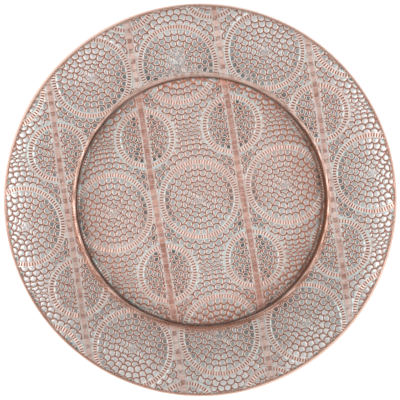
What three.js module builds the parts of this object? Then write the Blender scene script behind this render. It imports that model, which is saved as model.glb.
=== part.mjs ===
// Hammered copper tray: a round charger pressed from one embossed copper sheet, with a flat
// well, an upright wall, a broad rim that crowns and falls, and an edge rolled over a wire.
// Millimetres, +Z up. The origin is the centre of the flat underside that it stands on.

import * as THREE from 'three';

// Sheet
const SHEET_THICKNESS = 0.8;

// Outline seen from above
const TRAY_DIAMETER = 330;
const FLOOR_DIAMETER = 205;

// Wall of the well
const WELL_DEPTH = 13;
const WALL_LEAN_DEG = 8;
const FOOT_RADIUS = 1.4;
const SHOULDER_RADIUS = 3;

// Rim, rising from the shoulder, crowned, and falling to the edge
const RIM_RISE_DEG = 5;
const CROWN_RADIUS = 84;
const CROWN_FALL_DEG = 11;
const LIP_RADIUS = 9;
const LIP_FALL_DEG = 32;

// Edge rolled over its wire
const WIRE_DIAMETER = 1.8;
const WIRE_CLEARANCE = 0.3;
const CURL_END_DEG = 260;

// Steps of the faceted rounds
const STEPS_AROUND = 72;
const FOOT_STEPS = 3;
const SHOULDER_STEPS = 4;
const CROWN_STEPS = 4;
const LIP_STEPS = 2;
const CURL_DOWN_STEPS = 3;
const CURL_UNDER_STEPS = 7;
const WIRE_SIDES = 8;

// Radii along the middle of the sheet
const HALF_SHEET = SHEET_THICKNESS / 2;
const FOOT_BEND = FOOT_RADIUS + HALF_SHEET;
const SHOULDER_BEND = SHOULDER_RADIUS - HALF_SHEET;
const CURL_BEND = WIRE_DIAMETER / 2 + WIRE_CLEARANCE + HALF_SHEET;
const WALL_HEADING = 90 - WALL_LEAN_DEG;

const sine = (degrees) => Math.sin(THREE.MathUtils.degToRad(degrees));
const cosine = (degrees) => Math.cos(THREE.MathUtils.degToRad(degrees));

// How far out an arc of the section goes between two headings, and how far up it goes.
// A heading of 0 points away from the axis and 90 points up.
function outwardRun(radius, from, to) {
  return radius * Math.abs(sine(to) - sine(from));
}

function upwardRun(radius, from, to) {
  return radius * Math.abs(cosine(to) - cosine(from));
}

// The straight lengths that bring the wall to its depth and the edge to the tray's diameter.
function wallLength() {
  const footRise = upwardRun(FOOT_BEND, 0, WALL_HEADING);
  const shoulderRise = upwardRun(SHOULDER_BEND, WALL_HEADING, RIM_RISE_DEG);
  return (WELL_DEPTH - footRise - shoulderRise) / sine(WALL_HEADING);
}

function rimLength() {
  const reached = FLOOR_DIAMETER / 2
    + outwardRun(FOOT_BEND, 0, WALL_HEADING)
    + wallLength() * cosine(WALL_HEADING)
    + outwardRun(SHOULDER_BEND, WALL_HEADING, RIM_RISE_DEG)
    + outwardRun(CROWN_RADIUS, RIM_RISE_DEG, -CROWN_FALL_DEG)
    + outwardRun(LIP_RADIUS, -CROWN_FALL_DEG, -LIP_FALL_DEG)
    + outwardRun(CURL_BEND, -LIP_FALL_DEG, -90)
    + HALF_SHEET;
  return (TRAY_DIAMETER / 2 - reached) / cosine(RIM_RISE_DEG);
}

// The middle line of the sheet from the axis to the end of the curl, as places with headings,
// and the centre that the curl goes round.
function sheetSection() {
  const line = [{ r: 0, z: HALF_SHEET, heading: 0 }];
  const last = () => line[line.length - 1];

  function straight(length) {
    const { r, z, heading } = last();
    line.push({ r: r + length * cosine(heading), z: z + length * sine(heading), heading });
  }

  function bend(radius, toHeading, steps) {
    const { r, z, heading: start } = last();
    const side = Math.sign(toHeading - start);
    for (let step = 1; step <= steps; step += 1) {
      const heading = start + ((toHeading - start) * step) / steps;
      line.push({
        r: r + side * radius * (sine(heading) - sine(start)),
        z: z - side * radius * (cosine(heading) - cosine(start)),
        heading,
      });
    }
  }

  straight(FLOOR_DIAMETER / 2);
  bend(FOOT_BEND, WALL_HEADING, FOOT_STEPS);
  straight(wallLength());
  bend(SHOULDER_BEND, RIM_RISE_DEG, SHOULDER_STEPS);
  straight(rimLength());
  bend(CROWN_RADIUS, -CROWN_FALL_DEG, CROWN_STEPS);
  bend(LIP_RADIUS, -LIP_FALL_DEG, LIP_STEPS);
  const lip = last();
  const curlCentre = {
    r: lip.r + CURL_BEND * sine(lip.heading),
    z: lip.z - CURL_BEND * cosine(lip.heading),
  };
  bend(CURL_BEND, -90, CURL_DOWN_STEPS);
  bend(CURL_BEND, -CURL_END_DEG, CURL_UNDER_STEPS);
  return { line, curlCentre };
}

// One face of the sheet: the middle line moved half a thickness towards its upper side (1) or
// its underside (-1).
function sheetFace(line, side) {
  return line.map(({ r, z, heading }) => new THREE.Vector2(
    Math.max(0, r - side * HALF_SHEET * sine(heading)),
    z + side * HALF_SHEET * cosine(heading),
  ));
}

// A lathe turns about Y, so the finished solid is stood up to turn about Z.
function turned(profile) {
  const geometry = new THREE.LatheGeometry(profile, STEPS_AROUND);
  geometry.rotateX(Math.PI / 2);
  return geometry;
}

function part(name, geometry, material) {
  const mesh = new THREE.Mesh(geometry, material);
  mesh.name = name;
  return mesh;
}

// The embossed sheet with its well, rim and open curl.
function traySheet() {
  const { line } = sheetSection();
  const profile = [...sheetFace(line, -1), ...sheetFace(line, 1).reverse()];
  const copper = new THREE.MeshStandardMaterial({ color: 0xc08f7c, roughness: 0.38, metalness: 0.9 });
  return part('tray_sheet', turned(profile), copper);
}

// The ring of wire that lies in the curl and stiffens the edge.
function rimWire() {
  const { curlCentre } = sheetSection();
  const profile = [];
  for (let side = 0; side <= WIRE_SIDES; side += 1) {
    const angle = (360 * (side % WIRE_SIDES)) / WIRE_SIDES;
    profile.push(new THREE.Vector2(
      curlCentre.r + (WIRE_DIAMETER / 2) * cosine(angle),
      curlCentre.z + (WIRE_DIAMETER / 2) * sine(angle),
    ));
  }
  const steel = new THREE.MeshStandardMaterial({ color: 0x9a9690, roughness: 0.45, metalness: 0.9 });
  return part('rim_wire', turned(profile), steel);
}

const tray = new THREE.Group();
tray.name = 'hammered_copper_tray';
tray.add(traySheet(), rimWire());

export default tray;
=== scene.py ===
# Hammered copper tray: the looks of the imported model, seen from straight above.
# Sizes are in millimetres and become metres where a mesh, a lamp or the camera is made.
import math
from dataclasses import dataclass

import bpy
import numpy as np
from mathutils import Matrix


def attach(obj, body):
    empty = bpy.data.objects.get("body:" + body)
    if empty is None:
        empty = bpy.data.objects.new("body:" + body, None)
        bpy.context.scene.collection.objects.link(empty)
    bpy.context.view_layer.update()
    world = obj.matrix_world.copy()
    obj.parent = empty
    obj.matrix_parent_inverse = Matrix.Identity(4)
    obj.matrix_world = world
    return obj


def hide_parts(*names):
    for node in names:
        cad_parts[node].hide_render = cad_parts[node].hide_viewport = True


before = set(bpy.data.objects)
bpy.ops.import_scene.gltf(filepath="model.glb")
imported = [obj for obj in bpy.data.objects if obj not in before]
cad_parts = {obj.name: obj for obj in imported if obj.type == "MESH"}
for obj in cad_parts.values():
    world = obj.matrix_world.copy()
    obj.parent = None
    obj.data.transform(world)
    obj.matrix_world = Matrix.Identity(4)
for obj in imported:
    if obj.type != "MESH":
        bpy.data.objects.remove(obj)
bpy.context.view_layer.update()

MM = 0.001
TAU = 2 * math.pi

# Section of the sheet, as in the model
SHEET_THICKNESS = 0.8
TRAY_DIAMETER = 330
FLOOR_DIAMETER = 205
WELL_DEPTH = 13
WALL_LEAN = math.radians(8)
FOOT_RADIUS = 1.4
SHOULDER_RADIUS = 3
RIM_RISE = math.radians(5)
CROWN_RADIUS = 84
CROWN_FALL = math.radians(11)
LIP_RADIUS = 9
LIP_FALL = math.radians(32)
WIRE_DIAMETER = 1.8
WIRE_CLEARANCE = 0.3
CURL_END = math.radians(260)

# Layout of the pattern, which is a slanted grid of large circles with small ones between them
GRID_SLANT = math.radians(8.7)
COLUMN_PITCH = 73.8
ROW_PITCH = 115.2
GRID_MIDDLE = (-1.1, 0.0)
WELL_TURN = math.radians(0.8)
WELL_SHIFT = (0.45, 0.9)

# The band that runs through each column of small circles. In the well it lies a little to the left.
BAND_HALF = 2.1
BAND_BORDER = 1.0
BAND_ASIDE = 0.25
FACET_PAIR = 8.7
FIRST_DARK_FACET = 6.5
GROOVE_PITCH = 1.45

# Pale line on each side of a ring of ticks, and how strong the ticks are at the ring's top and bottom,
# in colour and height. Their stronger contrast at the ring's sides is painted shade and light.
RING_BORDER = 0.85
TICK_SOFT = 0.75

# Shape of one scale
TIP_DEPTH = 0.86
SIDE_JITTER = 0.16
TIP_JITTER = 0.5
ARC_INSIDE = 1.7

# Seeds of the scales in large circles, in small ones and between them
LARGE_SEED = 10
SMALL_SEED = 30
FIELD_SEED = 50

# Each scale has a number: its region's seed and its row, in these steps, and its place in the row
REGION_STEP = 10000
ROW_STEP = 1000

# How the sheet's slow waves move the pattern
SLOW_WAVE = 0.35
QUICK_WAVE = 0.2

# Outlines grow wider by this much towards the wall, mostly on the right
CROWDED = 0.22
CROWDED_FROM = 72
CROWDED_TO = 98

# Patina that pools outside the small circles
POOL_WIDTH = 0.8
SOFT_EDGE = 0.25

# Relief. A rise gives the distances from an outline where it starts and is full.
FACE_HEIGHT = 0.4
FACE_RISE = (0.1, 1.25)
FACE_DOME = 0.08
DOME_RISE = (1.0, 2.8)
TICK_HEIGHT = 0.22
LINE_HEIGHT = 0.16
LINE_WIDTH = 0.4
BAND_HEIGHT = 0.2
HAMMER_DEPTH = 0.1

# The well was pressed a little to one side of the middle. The rim takes up the difference.
WELL_OFFSET = 1.27
WELL_SIDE = math.radians(-49)
OFFSET_FROM = 112
OFFSET_TO = 155

# Where the relief is pressed flat, by radius. The flat strip is wider on one side and behind.
WALL_RADIUS = 106
FOOT_FROM = 104.0
FOOT_FADE = 0.5
SHOULDER_TO = 107.3
SHOULDER_LATE = 0.9
LATE_SIDE = math.radians(-25)
BEHIND_LATE = 0.8
LATE_BEHIND = (0.6, 0.95)
RIM_FADE = 1.5
WALL_RELIEF = 0.15
PRESSED_FROM = 103.2
PRESSED_TO = 106.8
EDGE_FLAT_FROM = 162.6
EDGE_FADE = 0.7

# Where pale patina lies thick: a spot in one circle, and the rim behind the well
WASH_SPOT = (-19.5, 119.0)
WASH_RADIUS = 9.0
WASH_BEHIND = (0.72, 0.95)
WASH_STARTS = (105.6, 107.0)
WASH_ENDS = (108, 117)
WASH_SHARE = 0.6

# How much darker scales are: all of them, beside a band, in the outer row of a large circle there,
# in a small circle, beside the wall as painted shade, and on the inner part of the rim
DARKER_ALL = 0.05
DARKER_BY_BAND = 0.54
DARKER_OUTER_ROW = 0.32
DARKER_SMALL = 0.26
DARKER_BY_WALL = 0.4
DARKER_INNER_RIM = 0.25

# The underside shows this share of the relief, turned in
UNDER_SHARE = 0.5

# The photograph: its side in pixels, the middle of the tray in it, its scale, the camera's height
# and the height of the tray's outline
PHOTO_PIXELS = 400
TRAY_IN_PHOTO = (200.26, 200.0)
MM_PER_PIXEL = TRAY_DIAMETER / 392.8
CAMERA_HEIGHT = 2800
OUTLINE_HEIGHT = 14

# Light: the world's share, and what the floor adds so that it shows white. A lamp has a name, a
# place, a width, a depth, all in metres, and its watts.
WORLD_LIGHT = 0.43
FLOOR_GLOW = 0.5
LAMPS = (
    ("lamp_left", (-1.15, 0.0, 1.15), 0.6, 1.4, 10.6),
    ("lamp_right", (1.15, 0.0, 1.15), 0.9, 1.5, 10.5),
    ("lamp_front", (0.0, -1.3, 1.2), 1.3, 0.7, 4),
)

# The floor's half width and how far it lies under the tray, in metres
FLOOR_HALF = 3
FLOOR_DROP = 0.0002

# Grain of the meshes
TOP_SPACING = 0.36
UNDER_SPACING = 0.85
FEWEST_ROUND = 12
FAR = 3.0
UV_RADIUS = 0.498
SURFACE_VALUES = (
    "distance", "arc", "leftover", "ring", "tick", "band", "hammer", "groove",
    "kept", "shade", "radius", "front", "side", "wash", "small",
)


@dataclass
class Row:
    """A row of scales round a circle: the radius of its tips, their number, its turn in scales, and
    how many times thinner than usual its outlines are."""
    tip: float
    count: int
    turn: float
    thin: float = 1.0


@dataclass
class Circle:
    """A circle of the pattern: its ring of ticks, and the rows of scales inside that."""
    ring_inner: float
    ring_outer: float
    ticks: int
    rows: tuple


LARGE = Circle(30.1, 33.6, 90, (
    Row(24.7, 30, 0.33), Row(19.7, 24, 0.79), Row(14.8, 20, 0.25), Row(10.8, 14, 0.47),
    Row(7.0, 10, 0.9, 1.1), Row(4.0, 6, 0.3, 1.2), Row(1.5, 3, 0.1, 1.4),
))
SMALL = Circle(21.2, 24.7, 62, (
    Row(16.6, 23, 0.2), Row(12.7, 16, 0.36), Row(9.1, 12, 0.75), Row(6.2, 9, 0.45),
    Row(3.3, 6, 0.2, 1.2), Row(1.2, 3, 0.0, 1.3),
))
FIELD = (
    Row(37.9, 36, 0.0), Row(42.7, 40, 0.5), Row(47.3, 48, 0.0), Row(51.4, 54, 0.5, 1.1),
    Row(54.9, 60, 0.0, 1.3), Row(57.7, 64, 0.5, 1.5),
)


# Section

def bend_run(radius, start, end, steps):
    """Points of an arc of the section from one heading to another, relative to its start."""
    headings = np.linspace(start, end, steps + 1)[1:]
    side = np.sign(end - start)
    out = side * radius * (np.sin(headings) - math.sin(start))
    up = -side * radius * (np.cos(headings) - math.cos(start))
    return out, up, headings


def section(spacing):
    """The middle line of the sheet from the axis to the end of its curl: radius, height, heading."""
    half = SHEET_THICKNESS / 2
    foot = FOOT_RADIUS + half
    shoulder = SHOULDER_RADIUS - half
    curl = WIRE_DIAMETER / 2 + WIRE_CLEARANCE + half
    upright = math.pi / 2 - WALL_LEAN

    def across(radius, start, end):
        return radius * abs(math.sin(end) - math.sin(start))

    def rise(radius, start, end):
        return radius * abs(math.cos(end) - math.cos(start))

    wall = (WELL_DEPTH - rise(foot, 0, upright) - rise(shoulder, upright, RIM_RISE)) / math.sin(upright)
    reached = (
        FLOOR_DIAMETER / 2
        + across(foot, 0, upright)
        + wall * math.cos(upright)
        + across(shoulder, upright, RIM_RISE)
        + across(CROWN_RADIUS, RIM_RISE, -CROWN_FALL)
        + across(LIP_RADIUS, -CROWN_FALL, -LIP_FALL)
        + across(curl, -LIP_FALL, -math.pi / 2)
        + half
    )
    rim = (TRAY_DIAMETER / 2 - reached) / math.cos(RIM_RISE)

    line = [np.array([[0.0, half, 0.0]])]

    def straight(length):
        r, z, heading = line[-1][-1]
        along = np.linspace(0, length, max(2, round(length / spacing)) + 1)[1:]
        line.append(np.column_stack([
            r + along * math.cos(heading), z + along * math.sin(heading), np.full(len(along), heading),
        ]))

    def bend(radius, end):
        r, z, heading = line[-1][-1]
        steps = max(3, round(abs(end - heading) * (radius + half) / spacing))
        out, up, headings = bend_run(radius, heading, end, steps)
        line.append(np.column_stack([r + out, z + up, headings]))

    straight(FLOOR_DIAMETER / 2)
    bend(foot, upright)
    straight(wall)
    bend(shoulder, RIM_RISE)
    straight(rim)
    bend(CROWN_RADIUS, -CROWN_FALL)
    bend(LIP_RADIUS, -LIP_FALL)
    bend(curl, -CURL_END)
    return np.vstack(line)


# Pattern

def hashed(*numbers):
    """A fixed pseudo-random value between 0 and 1 for each combination of whole numbers."""
    mixed = np.zeros(np.broadcast(*numbers).shape, dtype=np.uint64)
    for number in numbers:
        whole = np.asarray(number, dtype=np.int64).astype(np.uint64)
        mixed = (mixed ^ whole) * np.uint64(0x9E3779B97F4A7C15)
        mixed ^= mixed >> np.uint64(29)
        mixed *= np.uint64(0xBF58476D1CE4E5B9)
        mixed ^= mixed >> np.uint64(32)
    return (mixed >> np.uint64(40)).astype(np.float64) / float(1 << 24)


def smooth(low, high, value):
    """0 below low, 1 above high, and an even curve between them."""
    t = np.clip((value - low) / (high - low), 0, 1)
    return t * t * (3 - 2 * t)


def sheet_place(x, y, r):
    """Where a point seen from above lies on the sheet before the well was pressed into it."""
    pressed = 1 - smooth(PRESSED_FROM, PRESSED_TO, r)
    turn = -WELL_TURN * pressed
    u = x - WELL_SHIFT[0] * pressed
    v = y - WELL_SHIFT[1] * pressed
    u, v = u * np.cos(turn) - v * np.sin(turn), u * np.sin(turn) + v * np.cos(turn)
    u = u + SLOW_WAVE * np.sin(v / 19.0 + 0.7) + QUICK_WAVE * np.sin(u / 11.0 + v / 23.0)
    v = v + SLOW_WAVE * np.sin(u / 17.0 + 2.1) + QUICK_WAVE * np.sin(v / 13.0 - u / 29.0)
    return u, v


def row_of_scales(rho, phi, row, inward, seed):
    """One row of scales round a circle, with the tips towards its middle or away from it.

    Gives the distance to the row's outline inside and outside the row, that to the arc of the tip,
    whether each point is in the row, the number of its scale, and that scale's radius and angle."""
    lean = TIP_DEPTH * math.pi / row.count
    base = row.tip / (1 - lean) if inward else row.tip / (1 + lean)
    half = math.pi * base / row.count
    step = TAU / row.count
    turns = phi / step - row.turn
    first = np.floor(turns)
    found = []
    for neighbour in (first, first + 1):
        scale = np.mod(neighbour, row.count)
        middle = neighbour + SIDE_JITTER * (hashed(seed, scale, 1) - 0.5)
        slip = TIP_JITTER * (hashed(seed, scale, 2) - 0.5)
        aside = (turns - middle) * step * base
        ahead = (base - rho if inward else rho - base) + slip
        to_tip = half - np.hypot(aside, np.maximum(ahead, 0) / TIP_DEPTH)
        found.append((np.abs(aside), to_tip, ahead, scale, (middle + row.turn) * step))
    nearer = found[1][0] < found[0][0]
    aside, to_tip, ahead, scale, angle = (np.where(nearer, b, a) for a, b in zip(*found))
    to_wall = (np.maximum(found[0][0], found[1][0]) - aside) / 2
    outside = -np.maximum(found[0][1], found[1][1])
    inside = np.where(ahead > 0, to_tip, to_wall)
    tip = np.where(ahead > 0, to_tip, FAR)
    return inside, outside, tip, (ahead <= 0) | (to_tip >= 0), scale, base, angle


def rows_of_scales(rho, phi, rows, inward, seed):
    """Overlapping rows, the first on top. Gives each point's distance to the nearest outline and to
    the nearest arc of a tip, a number for its scale, and the radius and angle of that scale."""
    distance = np.full(rho.shape, FAR)
    arc = np.full(rho.shape, FAR)
    name = np.zeros(rho.shape)
    middle_rho = rho.copy()
    middle_phi = phi.copy()
    free = np.ones(rho.shape, dtype=bool)
    for number, row in enumerate(rows):
        at = np.flatnonzero(free & (rho > row.tip - FAR if inward else rho < row.tip + FAR))
        inside, outside, tip, within, scale, base, angle = row_of_scales(
            rho[at], phi[at], row, inward, seed + number)
        mine = at[within]
        rest = at[~within]
        distance[mine] = np.minimum(distance[mine], inside[within] * row.thin)
        distance[rest] = np.minimum(distance[rest], outside[~within] * row.thin)
        arc[mine] = np.minimum(arc[mine], tip[within] * ARC_INSIDE * row.thin)
        arc[rest] = np.minimum(arc[rest], outside[~within] * row.thin)
        name[mine] = (number + 1) * ROW_STEP + scale[within]
        middle_rho[mine] = base
        middle_phi[mine] = angle[within]
        free[mine] = False
    return distance, arc, name, middle_rho, middle_phi


def ring_depth(rho, circle):
    """How deep a point lies in a circle's ring of ticks, or below 0 how far it is from it."""
    middle = (circle.ring_inner + circle.ring_outer) / 2
    return (circle.ring_outer - circle.ring_inner) / 2 - np.abs(rho - middle)


def emboss(x, y, r):
    """The pattern at points seen from above, as the values that the relief and the colours use. The
    points' radii in the section are r."""
    u, v = sheet_place(x, y, r)
    u = u - GRID_MIDDLE[0]
    v = v - GRID_MIDDLE[1]
    across = (u * math.cos(GRID_SLANT) + v * math.sin(GRID_SLANT)) / COLUMN_PITCH
    up = (v * math.cos(GRID_SLANT) - u * math.sin(GRID_SLANT)) / ROW_PITCH

    column = np.round(across)
    row = np.round(up)
    a = (across - column) * COLUMN_PITCH
    b = (up - row) * ROW_PITCH
    large_rho = np.hypot(a, b)
    large_angle = np.arctan2(b, a)

    c = (across - np.floor(across) - 0.5) * COLUMN_PITCH
    d = (up - np.floor(up) - 0.5) * ROW_PITCH
    small_rho = np.hypot(c, d)
    small_angle = np.arctan2(d, c)

    in_band = BAND_HALF - np.abs(c + BAND_ASIDE * (r < WALL_RADIUS))
    large_ring = ring_depth(large_rho, LARGE)
    small_ring = ring_depth(small_rho, SMALL)
    in_large = large_rho < LARGE.ring_outer + RING_BORDER
    in_small = small_rho < SMALL.ring_outer + RING_BORDER
    in_field = ~in_large & ~in_small

    distance = np.full(x.shape, FAR)
    arc = np.full(x.shape, FAR)
    name = np.zeros(x.shape)
    middle_a = a.copy()

    def put(region, rho, angle, rows, inward, seed, from_a):
        at = np.flatnonzero(region)
        near, near_arc, scale, middle_rho, middle_angle = rows_of_scales(
            rho[at], angle[at], rows, inward, seed)
        distance[at] = near
        arc[at] = near_arc
        name[at] = seed * REGION_STEP + scale
        middle_a[at] = middle_rho * np.cos(middle_angle) + from_a[at]

    put(in_large, large_rho, large_angle, LARGE.rows, True, LARGE_SEED, 0 * a)
    put(in_small, small_rho, small_angle, SMALL.rows, True, SMALL_SEED, a - c)
    put(in_field, large_rho, large_angle, FIELD, False, FIELD_SEED, 0 * a)

    wave = 0.3 * np.sin(1.7 * u + 2 * np.sin(0.9 * v)) + 0.2 * np.sin(2.3 * v - u)
    to_band = -in_band - BAND_BORDER
    to_small = small_rho - SMALL.ring_outer - RING_BORDER - POOL_WIDTH - wave
    leftover = np.where(in_field, np.minimum(to_small, to_band), np.where(in_small, to_band, FAR))
    distance = np.minimum(distance, np.maximum(leftover, 0) + SOFT_EDGE)
    crowded = smooth(CROWDED_FROM, CROWDED_TO, r) * (r < WALL_RADIUS)
    distance = distance - CROWDED * crowded * (0.4 + 0.6 * smooth(-0.5, 0.5, x / np.maximum(r, 1)))

    along = np.abs(d)
    ticks = np.where(in_large, LARGE.ticks, SMALL.ticks)
    tick_angle = np.where(in_large, large_angle, small_angle)
    place = hashed(column, row, np.round(name), 7)
    row_number = np.mod(np.floor(name / ROW_STEP), REGION_STEP // ROW_STEP)
    return {
        "distance": np.maximum(distance, 0),
        "arc": np.maximum(arc, 0),
        "leftover": leftover,
        "ring": np.maximum(large_ring, small_ring),
        # Ticks are weaker at the ring's top and bottom, in relief and colour; the colour's stronger
        # contrast at the sides is painted shade and light
        "tick": -np.cos(ticks * tick_angle) * (TICK_SOFT + (1 - TICK_SOFT) * np.abs(np.cos(tick_angle))),
        "band": in_band,
        "hammer": np.cos(TAU * (along - FIRST_DARK_FACET) / FACET_PAIR),
        "groove": np.cos(TAU * along / GROOVE_PITCH),
        "small": in_small,
        "first": in_large & (row_number == 1),
        "off_band": COLUMN_PITCH / 2 - np.abs(middle_a),
        "chance": 0.6 * hashed(name, 5) + 0.4 * place,
    }


def pressed_flat(r, phi):
    """The share of the relief that is left: little on the wall and shoulder, none at the edge."""
    in_well = 1 - smooth(FOOT_FROM, FOOT_FROM + FOOT_FADE, r)
    flat_to = SHOULDER_TO + SHOULDER_LATE * np.maximum(np.cos(phi - LATE_SIDE), 0)
    flat_to = flat_to + BEHIND_LATE * smooth(*LATE_BEHIND, np.sin(phi))
    on_rim = smooth(0, RIM_FADE, r - flat_to)
    edge = 1 - smooth(EDGE_FLAT_FROM, EDGE_FLAT_FROM + EDGE_FADE, r)
    return np.maximum(in_well + on_rim, WALL_RELIEF) * edge


def thick_patina(x, y, r):
    """How thick the pale patina lies at points seen from above."""
    spot = np.hypot(x - WASH_SPOT[0], y - WASH_SPOT[1])
    behind = smooth(*WASH_BEHIND, y / np.maximum(r, 1)) * smooth(*WASH_STARTS, r)
    behind = behind * (1 - smooth(*WASH_ENDS, r)) * WASH_SHARE
    return np.maximum(1 - smooth(0.3, 1.3, spot / WASH_RADIUS), behind)


def relief(p):
    """Height of the embossing over the sheet, in millimetres: raised scales with grooves between."""
    faces = FACE_HEIGHT * smooth(*FACE_RISE, p["distance"])
    faces = faces + FACE_DOME * smooth(*DOME_RISE, p["distance"])
    faces = faces * smooth(-0.4, 0.4, p["leftover"])
    border_line = LINE_HEIGHT * np.exp(-(((p["ring"] + RING_BORDER / 2) / LINE_WIDTH) ** 2))
    ticks = TICK_HEIGHT * (0.5 + 0.5 * p["tick"])
    height = faces * (1 - smooth(-RING_BORDER - 0.6, -RING_BORDER / 2, p["ring"]))
    height = height + border_line + ticks * smooth(-0.15, 0.35, p["ring"])
    on_band = smooth(-BAND_BORDER, 0.3, p["band"])
    facet = smooth(-0.5, 0.5, p["hammer"])
    return height * (1 - on_band) + (BAND_HEIGHT - HAMMER_DEPTH * facet) * on_band


def face_shade(p):
    """How dark a scale's face is: darker beside the bands, in small circles and near the wall. The
    darkening near the wall is painted shade.
    """
    on_rim = p["radius"] > WALL_RADIUS
    reach = 19 + 6 * on_rim
    near_band = 1 - smooth(reach - 12, reach, p["off_band"])
    # Painted shade: faces grow darker near the wall
    beside_wall = (1 - smooth(1, 13, np.abs(p["radius"] - WALL_RADIUS))) * (0.45 + 0.55 * on_rim)
    inner_rim = on_rim * (1 - smooth(112, 158, p["radius"]))
    in_well = 1 - 0.6 * on_rim
    outer_row = near_band * p["first"]
    shade = DARKER_BY_BAND * near_band + DARKER_OUTER_ROW * outer_row + DARKER_SMALL * p["small"]
    shade = DARKER_ALL + shade * in_well
    walled = DARKER_BY_WALL * beside_wall + DARKER_INNER_RIM * inner_rim
    shade = shade + walled * (1 - 0.5 * p["small"])
    varied = 0.3 + 0.25 * np.clip(near_band + beside_wall + 0.5 * inner_rim, 0, 1) + 0.5 * beside_wall
    varied = varied * (1 - 0.4 * outer_row)
    return np.clip(shade + varied * (p["chance"] - 0.5), 0, 0.9)


# Meshes

def faces_between(inner_start, inner_count, outer_start, outer_count):
    """Triangles between two rings of points, which may differ in count, with their upper side out."""
    if inner_count > outer_count:
        return faces_between(outer_start, outer_count, inner_start, inner_count)[:, ::-1]
    j = np.arange(outer_count)
    inner = ((j + 0.5) * inner_count / outer_count).astype(np.int64)
    outer_edges = np.column_stack([
        inner_start + inner, outer_start + j, outer_start + (j + 1) % outer_count,
    ])
    if inner_count == 1:
        return outer_edges
    previous = np.roll(inner, 1)
    moved = np.flatnonzero(inner != previous)
    inner_edges = np.column_stack([
        inner_start + previous[moved], outer_start + moved, inner_start + inner[moved],
    ])
    return np.vstack([outer_edges, inner_edges])


def mesh_object(name, points, faces):
    """A smooth-shaded mesh object made from arrays of points and triangles."""
    mesh = bpy.data.meshes.new(name)
    mesh.vertices.add(len(points))
    mesh.vertices.foreach_set("co", points.astype(np.float32).ravel())
    mesh.loops.add(faces.size)
    mesh.loops.foreach_set("vertex_index", faces.astype(np.int32).ravel())
    mesh.polygons.add(len(faces))
    mesh.polygons.foreach_set("loop_start", np.arange(0, faces.size, 3, dtype=np.int32))
    mesh.update(calc_edges=True)
    mesh.shade_smooth()
    obj = bpy.data.objects.new(name, mesh)
    bpy.context.scene.collection.objects.link(obj)
    return obj


def skin(name, side, spacing, height_of):
    """A dense mesh of one face of the sheet: side 1 is the upper face and -1 the underside."""
    line = section(spacing)
    half = SHEET_THICKNESS / 2
    ring_r = np.maximum(line[:, 0] - side * half * np.sin(line[:, 2]), 0)
    ring_z = line[:, 1] + side * half * np.cos(line[:, 2])
    counts = np.where(ring_r < 1e-6, 1, np.maximum(FEWEST_ROUND, np.ceil(TAU * ring_r / spacing)))
    counts = counts.astype(np.int64)
    starts = np.concatenate([[0], np.cumsum(counts)])
    ring = np.repeat(np.arange(len(counts)), counts)
    phi = TAU * (np.arange(starts[-1]) - starts[ring]) / counts[ring]
    heading = line[ring, 2]
    flat_r = ring_r[ring]
    aside = WELL_OFFSET * (1 - smooth(OFFSET_FROM, OFFSET_TO, flat_r))
    aside_x = aside * math.cos(WELL_SIDE)
    aside_y = aside * math.sin(WELL_SIDE)

    x = flat_r * np.cos(phi) + aside_x
    y = flat_r * np.sin(phi) + aside_y
    pattern = emboss(x, y, flat_r)
    pattern["radius"] = flat_r
    pattern["front"] = -np.sin(phi)
    pattern["side"] = np.cos(phi)
    pattern["wash"] = thick_patina(x, y, flat_r)
    pattern["kept"] = pressed_flat(flat_r, phi) * (heading > -LIP_FALL - 0.02)
    pattern["shade"] = face_shade(pattern)
    lift = side * height_of(pattern) * pattern["kept"]
    r = flat_r - lift * np.sin(heading)
    z = ring_z[ring] + lift * np.cos(heading)
    points = np.column_stack([r * np.cos(phi) + aside_x, r * np.sin(phi) + aside_y, z]) * MM
    faces = np.vstack([
        faces_between(starts[k], counts[k], starts[k + 1], counts[k + 1]) for k in range(len(counts) - 1)
    ])
    obj = mesh_object(name, points, faces[:, ::side])
    for key in SURFACE_VALUES:
        attribute = obj.data.attributes.new(key, "FLOAT", "POINT")
        attribute.data.foreach_set("value", pattern[key].astype(np.float32))
    reach = np.cumsum(np.hypot(np.diff(ring_r, prepend=0), np.diff(ring_z, prepend=ring_z[0])))
    reach = reach[ring] / reach[-1] * UV_RADIUS
    flat = np.column_stack([0.5 + reach * np.cos(phi), 0.5 + reach * np.sin(phi)])
    layer = obj.data.uv_layers.new(name="OFBake")
    layer.uv.foreach_set("vector", flat[faces[:, ::side].ravel()].astype(np.float32).ravel())
    return obj


# Materials

def linear(red, green, blue):
    """An sRGB colour of 0 to 255 as the linear colour that the shader takes."""
    out = []
    for channel in (red, green, blue):
        c = channel / 255
        out.append(c / 12.92 if c <= 0.04045 else ((c + 0.055) / 1.055) ** 2.4)
    return (*out, 1.0)


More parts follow.
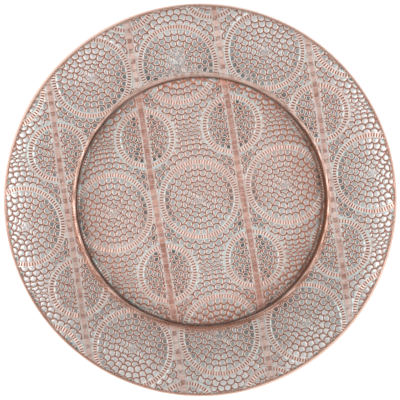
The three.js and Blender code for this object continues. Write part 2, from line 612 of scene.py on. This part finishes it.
class Nodes:
    """A short way to write a material's nodes."""

    def __init__(self, name):
        self.material = bpy.data.materials.new(name)
        self.material.use_nodes = True
        self.tree = self.material.node_tree
        self.shader = self.tree.nodes["Principled BSDF"]

    def link(self, source, target):
        self.tree.links.new(source, target)

    def feed(self, socket, value):
        if isinstance(value, bpy.types.NodeSocket):
            self.link(value, socket)
        else:
            socket.default_value = value

    def attribute(self, name):
        node = self.tree.nodes.new("ShaderNodeAttribute")
        node.attribute_name = name
        return node.outputs["Fac"]

    def between(self, value, low, high):
        node = self.tree.nodes.new("ShaderNodeMapRange")
        node.interpolation_type = "SMOOTHSTEP"
        self.feed(node.inputs["Value"], value)
        node.inputs["From Min"].default_value = low
        node.inputs["From Max"].default_value = high
        return node.outputs["Result"]

    def math(self, operation, a, b=0.0):
        node = self.tree.nodes.new("ShaderNodeMath")
        node.operation = operation
        self.feed(node.inputs[0], a)
        self.feed(node.inputs[1], b)
        return node.outputs[0]

    def times(self, a, b):
        return self.math("MULTIPLY", a, b)

    def plus(self, a, b):
        return self.math("ADD", a, b)

    def window(self, value, zone):
        """1 inside a zone, which gives where it starts, is full, is last full, and ends."""
        start, full, last_full, end = zone
        return self.times(self.between(value, start, full), self.between(value, end, last_full))

    def mixed(self, kind, share, a, b):
        node = self.tree.nodes.new("ShaderNodeMix")
        node.data_type = kind
        self.feed(node.inputs["Factor"], share)
        self.feed(node.inputs["A"], a)
        self.feed(node.inputs["B"], b)
        return node.outputs["Result"]

    def mix(self, share, a, b):
        """Colour a where the share is 0, and b where it is 1."""
        return self.mixed("RGBA", share, a, b)

    def blend(self, share, a, b):
        """Number a where the share is 0, and b where it is 1."""
        return self.mixed("FLOAT", share, a, b)

    def noise(self, scale, detail=3.0, roughness=0.6):
        node = self.tree.nodes.new("ShaderNodeTexNoise")
        place = self.tree.nodes.new("ShaderNodeTexCoord")
        self.link(place.outputs["Object"], node.inputs["Vector"])
        node.inputs["Scale"].default_value = scale
        node.inputs["Detail"].default_value = detail
        node.inputs["Roughness"].default_value = roughness
        return node.outputs["Fac"]

    def streaks(self, across, along, fineness, length):
        """Noise drawn out along one value and fine across the other."""
        node = self.tree.nodes.new("ShaderNodeTexNoise")
        place = self.tree.nodes.new("ShaderNodeCombineXYZ")
        self.link(self.times(across, fineness), place.inputs["X"])
        self.link(self.times(along, length), place.inputs["Y"])
        self.link(place.outputs["Vector"], node.inputs["Vector"])
        node.inputs["Scale"].default_value = 1.0
        return node.outputs["Fac"]


# Colours of copper, of patina, of the scales' faces, of dirt, of painted shade and light, of the
# underside and of the wire
GAP_DARK = linear(90, 56, 45)
OUTLINE_PINK = linear(195, 150, 135)
SHOULDER_DARK = linear(112, 66, 46)
SHOULDER_BROWN = linear(152, 100, 78)
SHOULDER_PINK = linear(198, 157, 141)
SHOULDER_PALE = linear(214, 190, 180)
SHOULDER_BEHIND = linear(184, 151, 137)
EDGE_BROWN = linear(140, 99, 84)
EDGE_PINK = linear(201, 165, 149)
PAINTED_HIGHLIGHT = linear(236, 204, 190)
TICK_DARK = linear(116, 68, 53)
TICK_DARK_RIM = linear(92, 51, 39)
TICK_MIDDLE = linear(187, 139, 123)
TICK_PALE = linear(207, 200, 195)
BAND_DARK = linear(138, 92, 78)
BAND_DARK_RIM = linear(126, 80, 65)
BAND_LIGHT = linear(193, 147, 132)
BAND_LIGHT_RIM = linear(208, 172, 160)
BAND_SMALL = linear(150, 99, 83)
BAND_WORN = linear(214, 204, 198)
BAND_MARGIN = linear(174, 142, 132)
PATINA_PALE = linear(192, 198, 196)
PATINA_CYAN = linear(180, 206, 205)
PATINA_TEAL = linear(146, 170, 167)
PATINA_LINE = linear(200, 202, 199)
PATINA_WASH_AND_PAINTED_LIGHT = linear(202, 209, 208)
FACE_LIGHT = linear(170, 167, 165)
FACE_RIM = linear(190, 189, 188)
FACE_DARK = linear(66, 59, 56)
CREASE_SHADE_AND_DIRT = linear(54, 27, 13)
RUST = linear(128, 74, 46)
WALL_SHADE_BROWN = linear(120, 84, 68)
WALL_SHADE_LINES = linear(156, 98, 74)
PAINTED_WARM_LIGHT = linear(228, 146, 114)
FRONT_GREY = linear(96, 82, 74)
SLOT_SHADE = linear(88, 96, 93)
BACK_LIGHT = linear(158, 104, 84)
BACK_BROWN = linear(112, 76, 64)
BACK_DARK = linear(92, 62, 54)
STEEL_DARK = linear(120, 116, 112)
STEEL_LIGHT = linear(152, 148, 143)


# Where each colour lies, by radius in millimetres. A pair runs from none of it to all of it. Four
# values give where it starts, is full, is last full, and ends.
ON_RIM = (105.5, 106.5)
IN_WELL = (105.2, 104.6)
BESIDE_WALL = (96.0, 103.0, 104.4, 104.9)
OUTER_RIM = (120.0, 155.0)
WARM_FACES = (125.0, 100.0)
CUT_SCALES = (160.4, 161.4)
WALL_SHADE_ZONE = (72.0, 96.0)
RIGHT_WALL_SHADOW = (100.2, 101.6, 103.0, 103.6)
PAINTED_LIGHT_BEHIND = (96.0, 102.0)
FOOT_LEFT = (101.8, 102.6)
WALL_TOP = (107.6, 106.4)
BRIM = (106.9, 107.6)
PAST_SHOULDER = (107.3, 108.2, 109.0, 111.5)
CREASE_STARTS = (104.1, 104.5)
CREASE_ENDS = (105.4, 104.9)
RUSTY = (104.5, 105.0)
LIT_WALL = (104.9, 105.3, 106.0, 106.6)
GLINT = (105.9, 106.3, 106.7, 107.1)
WORN_EDGE = (161.7, 162.4)
BEAD_FROM = (163.0, 163.6)
BEAD_PINK_FROM = (163.4, 164.2)
BEAD_HIGHLIGHT_FROM = (163.8, 164.6)

# The same for the lines of the pattern, by distance from an outline or depth in a ring or band
DARK_GAP = (0.62, 0.3)
DARK_SEAM = (0.5, 0.2)
PATINA_FROM = (0.7, 0.84)
FACE_FROM = (0.94, 1.2)
POOL_FROM = (0.2, -0.1)
RING_LINE = (-0.9, -0.55)
RING_TICKS = (-0.05, 0.45)
MARGIN_FROM = (-1.1, -0.6)
STRIP_FROM = (-0.35, 0.15)

# The same for directions, where front is 1 at the photo's bottom and -1 behind
BEHIND = (-0.6, -0.95)
NOT_BEHIND = (-0.95, -0.55)

# Scales of the noises, from slow changes over the tray to fine specks, and of the shoulder's streaks
DRIFT_SCALE = 12.0
CLOUD_SCALE = 60.0
SPOT_SCALE = 420.0
SPECK_SCALE = 1500.0
STREAKS_ACROSS = 1.1
STREAKS_ALONG = 9.0


class CopperNodes(Nodes):
    """The nodes of the embossed copper, with the values that several of its layers share."""

    def __init__(self):
        super().__init__("embossed_copper")
        self.distance = self.attribute("distance")
        self.radius = self.attribute("radius")
        self.front = self.attribute("front")
        self.side = self.attribute("side")
        self.drift = self.noise(DRIFT_SCALE)
        self.cloud = self.noise(CLOUD_SCALE)
        self.spots = self.noise(SPOT_SCALE)
        self.on_rim = self.between(self.radius, *ON_RIM)
        self.in_well = self.between(self.radius, *IN_WELL)
        self.beside_wall = self.window(self.radius, BESIDE_WALL)
        self.behind = self.between(self.front, *BEHIND)
        self.back_right = self.math("SUBTRACT", self.side, self.front)
        self.inner = self.between(self.distance, *FACE_FROM)
        self.grooves = self.between(self.attribute("groove"), 0.3, 0.9)
        self.patches = self.times(self.between(self.drift, 0.4, 0.62), 0.8)
        patina = self.mix(self.patches, PATINA_PALE, PATINA_CYAN)
        self.patina = self.mix(self.times(self.beside_wall, 0.45), patina, PATINA_TEAL)


def scales(n):
    """Outlines with dark gaps, patina along them, the grey faces of scales, and pools of patina."""
    uneven = n.times(n.spots, 0.16)
    arc = n.plus(n.attribute("arc"), uneven)
    line = n.plus(n.distance, uneven)
    seam = n.times(n.between(line, *DARK_SEAM), n.blend(n.on_rim, 0.45, 0.85))
    gap = n.math("MAXIMUM", n.between(arc, *DARK_GAP), seam)
    outline = n.mix(gap, OUTLINE_PINK, GAP_DARK)

    # Faces grow lighter towards the outer rim: a painted sheen where the rim slopes away
    light = n.mix(n.between(n.radius, *OUTER_RIM), FACE_LIGHT, FACE_RIM)
    face = n.mix(n.attribute("shade"), light, FACE_DARK)
    specks = n.between(n.noise(SPECK_SCALE), 0.45, 0.7)
    face = n.mix(n.times(specks, 0.12), face, PATINA_PALE)
    warm = n.times(n.between(n.drift, 0.58, 0.38), n.between(n.radius, *WARM_FACES))
    face = n.mix(n.times(warm, 0.24), face, OUTLINE_PINK)
    # Slots in the cut scales near the edge: painted shade of hollows that the mesh does not have, with
    # teal patina in some
    slot = n.times(n.between(n.radius, *CUT_SCALES), n.between(n.cloud, 0.42, 0.5))
    slot = n.times(slot, n.blend(n.behind, 1.0, 0.2))
    face = n.mix(slot, face, n.mix(n.between(n.spots, 0.48, 0.6), SLOT_SHADE, PATINA_TEAL))

    colour = n.mix(n.between(n.distance, *PATINA_FROM), outline, n.patina)
    colour = n.mix(n.inner, colour, face)
    return n.mix(n.between(n.attribute("leftover"), *POOL_FROM), colour, n.patina)


def ring_of_ticks(n, colour):
    """A pale line on both sides of each ring, and dark and light ticks in it."""
    ring = n.attribute("ring")
    edging = n.mix(n.patches, PATINA_LINE, PATINA_CYAN)
    edging = n.mix(n.blend(n.between(n.cloud, 0.6, 0.4), 0.06, 0.6), edging, OUTLINE_PINK)
    edging = n.mix(n.beside_wall, edging, PATINA_TEAL)
    colour = n.mix(n.times(n.between(ring, *RING_LINE), n.blend(n.spots, 0.7, 1.0)), colour, edging)
    tick = n.plus(n.attribute("tick"), n.times(n.spots, n.blend(n.on_rim, 0.55, 0.3)))
    dark = n.mix(n.on_rim, TICK_DARK, TICK_DARK_RIM)
    ticks = n.mix(n.between(tick, -0.9, 0.15), dark, TICK_MIDDLE)
    ticks = n.mix(n.between(tick, 0.1, 1.0), ticks, TICK_PALE)
    return n.mix(n.between(ring, *RING_TICKS), colour, ticks)


def hammered_band(n, colour):
    """A margin with patina on each side of a strip of light and dark facets with fine grooves."""
    band = n.attribute("band")
    hammer = n.attribute("hammer")
    cover = n.plus(n.between(n.spots, 0.4, 0.62), n.times(n.between(n.cloud, 0.4, 0.6), 0.7))
    cover = n.times(cover, n.blend(n.grooves, 0.6, 1.0))
    margin = n.mix(n.blend(cover, 0.16, 0.62), BAND_MARGIN, PATINA_PALE)
    colour = n.mix(n.between(band, *MARGIN_FROM), colour, margin)

    unequal = n.blend(n.cloud, n.blend(n.on_rim, 0.0, 0.65), n.blend(n.on_rim, 0.8, 1.0))
    light = n.mix(n.on_rim, BAND_LIGHT, BAND_LIGHT_RIM)
    dark = n.mix(n.on_rim, BAND_DARK, BAND_DARK_RIM)
    strip = n.mix(n.times(n.between(hammer, -0.15, 0.15), unequal), light, dark)
    darker = n.plus(n.attribute("small"), n.times(n.between(n.drift, 0.45, 0.62), 0.7))
    strip = n.mix(n.times(darker, n.blend(n.on_rim, 0.5, 0.25)), strip, BAND_SMALL)
    uneven = n.times(n.between(n.cloud, 0.54, 0.4), n.blend(n.on_rim, 0.6, 0.2))
    strip = n.mix(uneven, strip, BAND_DARK)
    strip = n.mix(n.times(n.between(n.spots, 0.5, 0.66), 0.14), strip, BAND_WORN)
    scratch = n.times(n.grooves, n.blend(n.spots, 0.05, 0.4))
    strip = n.mix(scratch, strip, BAND_LIGHT)
    worn = n.plus(n.times(n.cloud, 0.6), n.times(n.spots, 0.6))
    worn = n.times(n.between(worn, 0.5, 0.75), n.blend(n.on_rim, 0.2, 0.55))
    strip = n.mix(worn, strip, BAND_WORN)
    tarnished = n.math("MAXIMUM", n.between(n.back_right, 1.1, 1.35), n.between(n.side, -0.4, -0.8))
    tarnished = n.times(tarnished, n.on_rim)
    strip = n.mix(n.times(tarnished, 0.32), strip, BAND_SMALL)
    crossing = n.between(n.math("ABSOLUTE", hammer), 0.3, 0.0)
    strip = n.mix(n.times(crossing, n.blend(n.spots, 0.1, 0.8)), strip, BAND_WORN)
    inside = n.math("SUBTRACT", band, n.times(n.on_rim, 0.4))
    return n.mix(n.between(inside, *STRIP_FROM), colour, strip)


def front_and_wall_tones(n, colour):
    """The rim greyer at the front, and in the well painted shade towards the wall, browner on the
    outlines, with a painted shadow before the right wall. Behind, the well has painted warm light
    there instead."""
    greyer_front = n.times(n.between(n.front, 0.0, 0.8), n.on_rim)
    colour = n.mix(n.times(greyer_front, n.blend(n.inner, 0.26, 0.13)), colour, FRONT_GREY)

    # Painted shade in the well towards the wall, brown on the outlines and darker on the faces, but not
    # behind
    not_behind = n.between(n.front, *NOT_BEHIND)
    wall_shade = n.times(n.between(n.radius, *WALL_SHADE_ZONE), n.in_well)
    wall_shade = n.times(wall_shade, n.blend(not_behind, 0.1, 1.0))
    on_lines = n.blend(n.between(n.side, -0.5, 0.5), 0.24, 0.34)
    colour = n.mix(n.times(wall_shade, n.blend(n.inner, on_lines, 0.0)), colour, WALL_SHADE_LINES)
    colour = n.mix(n.times(wall_shade, n.blend(n.inner, 0.0, 0.16)), colour, WALL_SHADE_BROWN)
    # A painted shadow on the well's floor before the right wall
    right_wall_shadow = n.times(n.between(n.side, 0.35, 0.85), n.window(n.radius, RIGHT_WALL_SHADOW))
    right_wall_shadow = n.times(right_wall_shadow, n.blend(n.cloud, 0.6, 1.0))
    colour = n.mix(right_wall_shadow, colour, WALL_SHADE_BROWN)

    # Painted light behind in the well, warm on the outlines and pale on the faces
    glow = n.times(n.between(n.radius, *PAINTED_LIGHT_BEHIND), n.in_well)
    glow = n.times(glow, n.blend(not_behind, 1.0, 0.0))
    colour = n.mix(n.times(glow, n.blend(n.inner, 0.26, 0.0)), colour, PAINTED_WARM_LIGHT)
    colour = n.mix(n.times(glow, n.blend(n.inner, 0.0, 0.3)), colour, PATINA_WASH_AND_PAINTED_LIGHT)
    left_foot = n.times(n.between(n.side, -0.3, -0.6), n.between(n.radius, *FOOT_LEFT))
    left_foot = n.times(n.times(left_foot, n.in_well), n.between(n.cloud, 0.5, 0.56))
    return n.mix(n.times(left_foot, 0.3), colour, PATINA_CYAN)


def flat_share(n):
    """1 where the relief is pressed flat on the wall and shoulder, with an uneven border."""
    return n.between(n.plus(n.attribute("kept"), n.times(n.cloud, 0.7)), 1.1, 0.65)


def shoulder(n, colour, flat):
    """Bare streaked copper, with streaks of painted highlight, where the relief is flat, a stain outside
    it, and thick pale patina.
    """
    browner_front = n.between(n.plus(n.front, n.times(n.cloud, 0.3)), 0.5, 1.05)
    inside_right = n.times(n.between(n.side, 0.8, 0.98), n.between(n.radius, *WALL_TOP))
    bare = n.mix(n.math("MAXIMUM", browner_front, inside_right), SHOULDER_PINK, SHOULDER_BROWN)
    brim = n.times(n.times(browner_front, n.between(n.radius, *BRIM)), 0.8)
    bare = n.mix(brim, bare, SHOULDER_DARK)
    bare = n.mix(n.times(n.between(n.back_right, 0.9, 1.35), 0.6), bare, SHOULDER_PALE)
    bare = n.mix(n.behind, bare, SHOULDER_BEHIND)
    streak = n.streaks(n.radius, n.front, STREAKS_ACROSS, STREAKS_ALONG)
    bare = n.mix(n.times(n.between(streak, 0.48, 0.58), 0.8), bare, SHOULDER_DARK)
    # Streaks of painted highlight, fewer behind
    highlight = n.times(n.between(streak, 0.47, 0.38), n.blend(n.behind, 0.75, 0.35))
    bare = n.mix(highlight, bare, PAINTED_HIGHLIGHT)
    bare = n.mix(n.times(n.between(n.spots, 0.5, 0.66), 0.3), bare, SHOULDER_DARK)
    colour = n.mix(n.times(flat, n.blend(n.spots, 0.95, 0.6)), colour, bare)

    stain = n.times(n.window(n.radius, PAST_SHOULDER), n.blend(n.cloud, 0.05, 0.45))
    stain = n.times(stain, n.blend(n.between(n.front, -0.6, 0.4), 0.2, 1.6))
    stain = n.times(stain, n.blend(n.between(n.side, -0.5, -0.9), 1.0, 2.0))
    colour = n.mix(stain, colour, SHOULDER_BROWN)
    broken = n.between(n.plus(n.spots, n.cloud), 0.8, 1.2)
    wash = n.times(n.attribute("wash"), n.blend(broken, 0.2, 0.9))
    return n.mix(n.times(wash, n.blend(n.inner, 0.7, 0.1)), colour, PATINA_WASH_AND_PAINTED_LIGHT)


def crease_share(n):
    """1 in the line of painted shade at the foot of the wall. It is wider on the right and narrower
    behind, and on the left and behind it lies a little further out."""
    left_behind = n.between(n.plus(n.side, n.times(n.front, 0.5)), -0.7, -1.0)
    further = n.times(left_behind, -0.35)
    wide = n.times(n.between(n.side, 0.6, 1.0), -0.85)
    wide = n.plus(n.plus(wide, n.times(n.behind, 0.3)), further)
    ends = n.between(n.plus(n.radius, wide), *CREASE_ENDS)
    crease = n.times(n.between(n.plus(n.radius, further), *CREASE_STARTS), ends)
    crease = n.times(crease, n.blend(n.between(n.spots, 0.3, 0.6), 0.8, 1.0))
    return n.times(crease, n.blend(n.behind, 1.0, 0.75))


def foot_of_wall(n, colour, crease):
    """Dirt before the wall, the painted shade line at its foot, and painted light caught behind and at
    the front.
    """
    dirt = n.times(n.beside_wall, n.between(n.spots, 0.35, 0.65))
    colour = n.mix(n.times(dirt, n.blend(n.inner, 0.16, 0.05)), colour, CREASE_SHADE_AND_DIRT)
    rust = n.times(n.between(n.side, 0.5, 0.9), n.between(n.radius, *RUSTY))
    green = n.times(n.between(n.spots, 0.48, 0.6), n.between(n.front, 0.5, 0.9))
    shadow = n.mix(n.times(green, 0.5), n.mix(rust, CREASE_SHADE_AND_DIRT, RUST), PATINA_TEAL)
    # Painted shade at the foot of the wall, with rust and teal patina in it
    colour = n.mix(crease, colour, shadow)
    # Painted light on the wall behind
    lit = n.times(n.window(n.radius, LIT_WALL), n.behind)
    colour = n.mix(n.times(lit, 0.6), colour, PAINTED_HIGHLIGHT)
    # A painted glint on the shoulder at the front sides
    glint = n.times(n.window(n.radius, GLINT), n.between(n.front, 0.2, 0.5))
    glint = n.times(glint, n.between(n.math("ABSOLUTE", n.side), 0.3, 0.6))
    return n.mix(n.times(glint, 0.3), colour, PAINTED_HIGHLIGHT)


def rolled_edge(n, colour):
    """The smooth bead over the wire, brown inside and pink outside, with a painted highlight on its
    outer side. It is wider at the front right and at the back left, and the painted highlight is
    brighter there."""
    corner = n.times(n.side, n.front)
    at_edge = n.plus(n.radius, n.blend(n.between(corner, 0.05, 0.5), 0.0, 0.9))
    bead = n.mix(n.times(n.between(n.front, -0.4, -0.9), 0.35), EDGE_BROWN, EDGE_PINK)
    bead = n.mix(n.between(at_edge, *BEAD_PINK_FROM), bead, EDGE_PINK)
    bead = n.mix(n.times(n.between(n.cloud, 0.5, 0.6), 0.3), bead, EDGE_BROWN)
    # Painted highlight on the bead's outer side, brighter at two corners
    highlight = n.blend(n.between(corner, 0.1, 0.4), 0.4, 0.9)
    bead = n.mix(n.times(highlight, n.between(at_edge, *BEAD_HIGHLIGHT_FROM)), bead, PAINTED_HIGHLIGHT)
    worn = n.blend(n.between(n.spots, 0.42, 0.58), 0.15, 0.95)
    worn = n.times(worn, n.between(at_edge, *WORN_EDGE))
    on_bead = n.math("MAXIMUM", n.between(at_edge, *BEAD_FROM), worn)
    return n.mix(on_bead, colour, bead)


def embossed_copper():
    """Copper outlines, ticks and bands, grey scales between them, and pale patina in the grooves."""
    n = CopperNodes()
    flat = flat_share(n)
    crease = crease_share(n)
    colour = scales(n)
    colour = ring_of_ticks(n, colour)
    colour = hammered_band(n, colour)
    colour = front_and_wall_tones(n, colour)
    colour = shoulder(n, colour, flat)
    colour = foot_of_wall(n, colour, crease)
    colour = rolled_edge(n, colour)
    n.link(colour, n.shader.inputs["Base Color"])

    metal = n.blend(flat, n.blend(n.inner, 0.5, 0.88), 0.75)
    n.link(n.blend(crease, metal, 0.3), n.shader.inputs["Metallic"])
    rough = n.blend(n.between(n.cloud, 0.3, 0.7), 0.3, 0.4)
    rough = n.blend(flat, rough, 0.36)
    rough = n.blend(n.math("MAXIMUM", n.inner, flat), 0.46, rough)
    n.link(n.blend(crease, rough, 0.9), n.shader.inputs["Roughness"])
    return n.material


def copper_back():
    """The underside: dull copper with patina, and the pattern showing through softly."""
    n = Nodes("copper_underside")
    tone = n.noise(35.0, 5.0)
    base = n.mix(n.between(tone, 0.35, 0.7), BACK_LIGHT, BACK_BROWN)
    colour = n.mix(n.between(n.attribute("distance"), 0.0, 2.4), BACK_DARK, base)
    n.link(colour, n.shader.inputs["Base Color"])
    n.shader.inputs["Metallic"].default_value = 0.8
    n.link(n.blend(n.between(tone, 0.3, 0.7), 0.4, 0.58), n.shader.inputs["Roughness"])
    return n.material


def drawn_steel():
    """The wire in the rolled edge."""
    n = Nodes("drawn_steel_wire")
    tone = n.noise(120.0)
    n.link(n.mix(tone, STEEL_DARK, STEEL_LIGHT), n.shader.inputs["Base Color"])
    n.shader.inputs["Metallic"].default_value = 0.9
    n.link(n.blend(tone, 0.35, 0.55), n.shader.inputs["Roughness"])
    return n.material


# The tray

def under_relief(pattern):
    """The embossing seen from below, where it is softer and its ridges are hollows."""
    return -UNDER_SHARE * relief(pattern)


def build_tray():
    top = skin("tray_top", 1, TOP_SPACING, relief)
    under = skin("tray_underside", -1, UNDER_SPACING, under_relief)
    top.data.materials.append(embossed_copper())
    under.data.materials.append(copper_back())
    for piece in (top, under):
        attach(piece, "root")
        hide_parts("tray_sheet")


def dress_wire():
    wire = bpy.data.objects["rim_wire"]
    wire.data.materials.clear()
    wire.data.materials.append(drawn_steel())


# Floor, light and camera

def white_background(tree):
    """1 for the rays that should see a white background: the camera's and those of gloss and glass."""
    path = tree.nodes.new("ShaderNodeLightPath")
    total = path.outputs["Is Camera Ray"]
    for name in ("Is Glossy Ray", "Is Transmission Ray"):
        add = tree.nodes.new("ShaderNodeMath")
        add.operation = "MAXIMUM"
        tree.links.new(total, add.inputs[0])
        tree.links.new(path.outputs[name], add.inputs[1])
        total = add.outputs[0]
    return total


def floor():
    mesh = bpy.data.meshes.new("floor")
    h = FLOOR_HALF
    mesh.from_pydata([(-h, -h, 0), (h, -h, 0), (h, h, 0), (-h, h, 0)], [], [(0, 1, 2, 3)])
    obj = bpy.data.objects.new("floor", mesh)
    bpy.context.scene.collection.objects.link(obj)
    obj.location.z = -FLOOR_DROP
    n = Nodes("pale_floor")
    n.shader.inputs["Base Color"].default_value = (0.9, 0.9, 0.9, 1)
    n.shader.inputs["Roughness"].default_value = 0.9
    n.shader.inputs["Specular IOR Level"].default_value = 0
    n.shader.inputs["Emission Color"].default_value = (1, 1, 1, 1)
    glow = n.times(white_background(n.tree), FLOOR_GLOW)
    n.link(glow, n.shader.inputs["Emission Strength"])
    mesh.materials.append(n.material)


def lamp(name, place, width, depth, power):
    """A soft lamp that points at the middle of the tray."""
    data = bpy.data.lights.new(name, "AREA")
    data.shape = "RECTANGLE"
    data.size = width
    data.size_y = depth
    data.energy = power
    obj = bpy.data.objects.new(name, data)
    obj.location = place
    toward = -obj.location
    obj.rotation_euler = toward.to_track_quat("-Z", "Y").to_euler()
    bpy.context.scene.collection.objects.link(obj)


def light():
    for values in LAMPS:
        lamp(*values)
    world = bpy.data.worlds.new("studio")
    bpy.context.scene.world = world
    world.use_nodes = True
    tree = world.node_tree
    back = tree.nodes["Background"]
    level = tree.nodes.new("ShaderNodeMapRange")
    level.inputs["To Min"].default_value = WORLD_LIGHT
    level.inputs["To Max"].default_value = 1.0
    tree.links.new(white_background(tree), level.inputs["Value"])
    tree.links.new(level.outputs["Result"], back.inputs["Strength"])
    back.inputs["Color"].default_value = (1, 1, 1, 1)


def camera():
    data = bpy.data.cameras.new("camera")
    data.sensor_width = 36
    data.lens = data.sensor_width * (CAMERA_HEIGHT - OUTLINE_HEIGHT) / (PHOTO_PIXELS * MM_PER_PIXEL)
    data.clip_end = 20
    obj = bpy.data.objects.new("camera", data)
    obj.location = (
        -(TRAY_IN_PHOTO[0] - PHOTO_PIXELS / 2) * MM_PER_PIXEL * MM,
        (TRAY_IN_PHOTO[1] - PHOTO_PIXELS / 2) * MM_PER_PIXEL * MM,
        CAMERA_HEIGHT * MM,
    )
    bpy.context.scene.collection.objects.link(obj)
    bpy.context.scene.camera = obj


camera()
light()
floor()
build_tray()
dress_wire()
bpy.context.scene.view_settings.view_transform = "Standard"
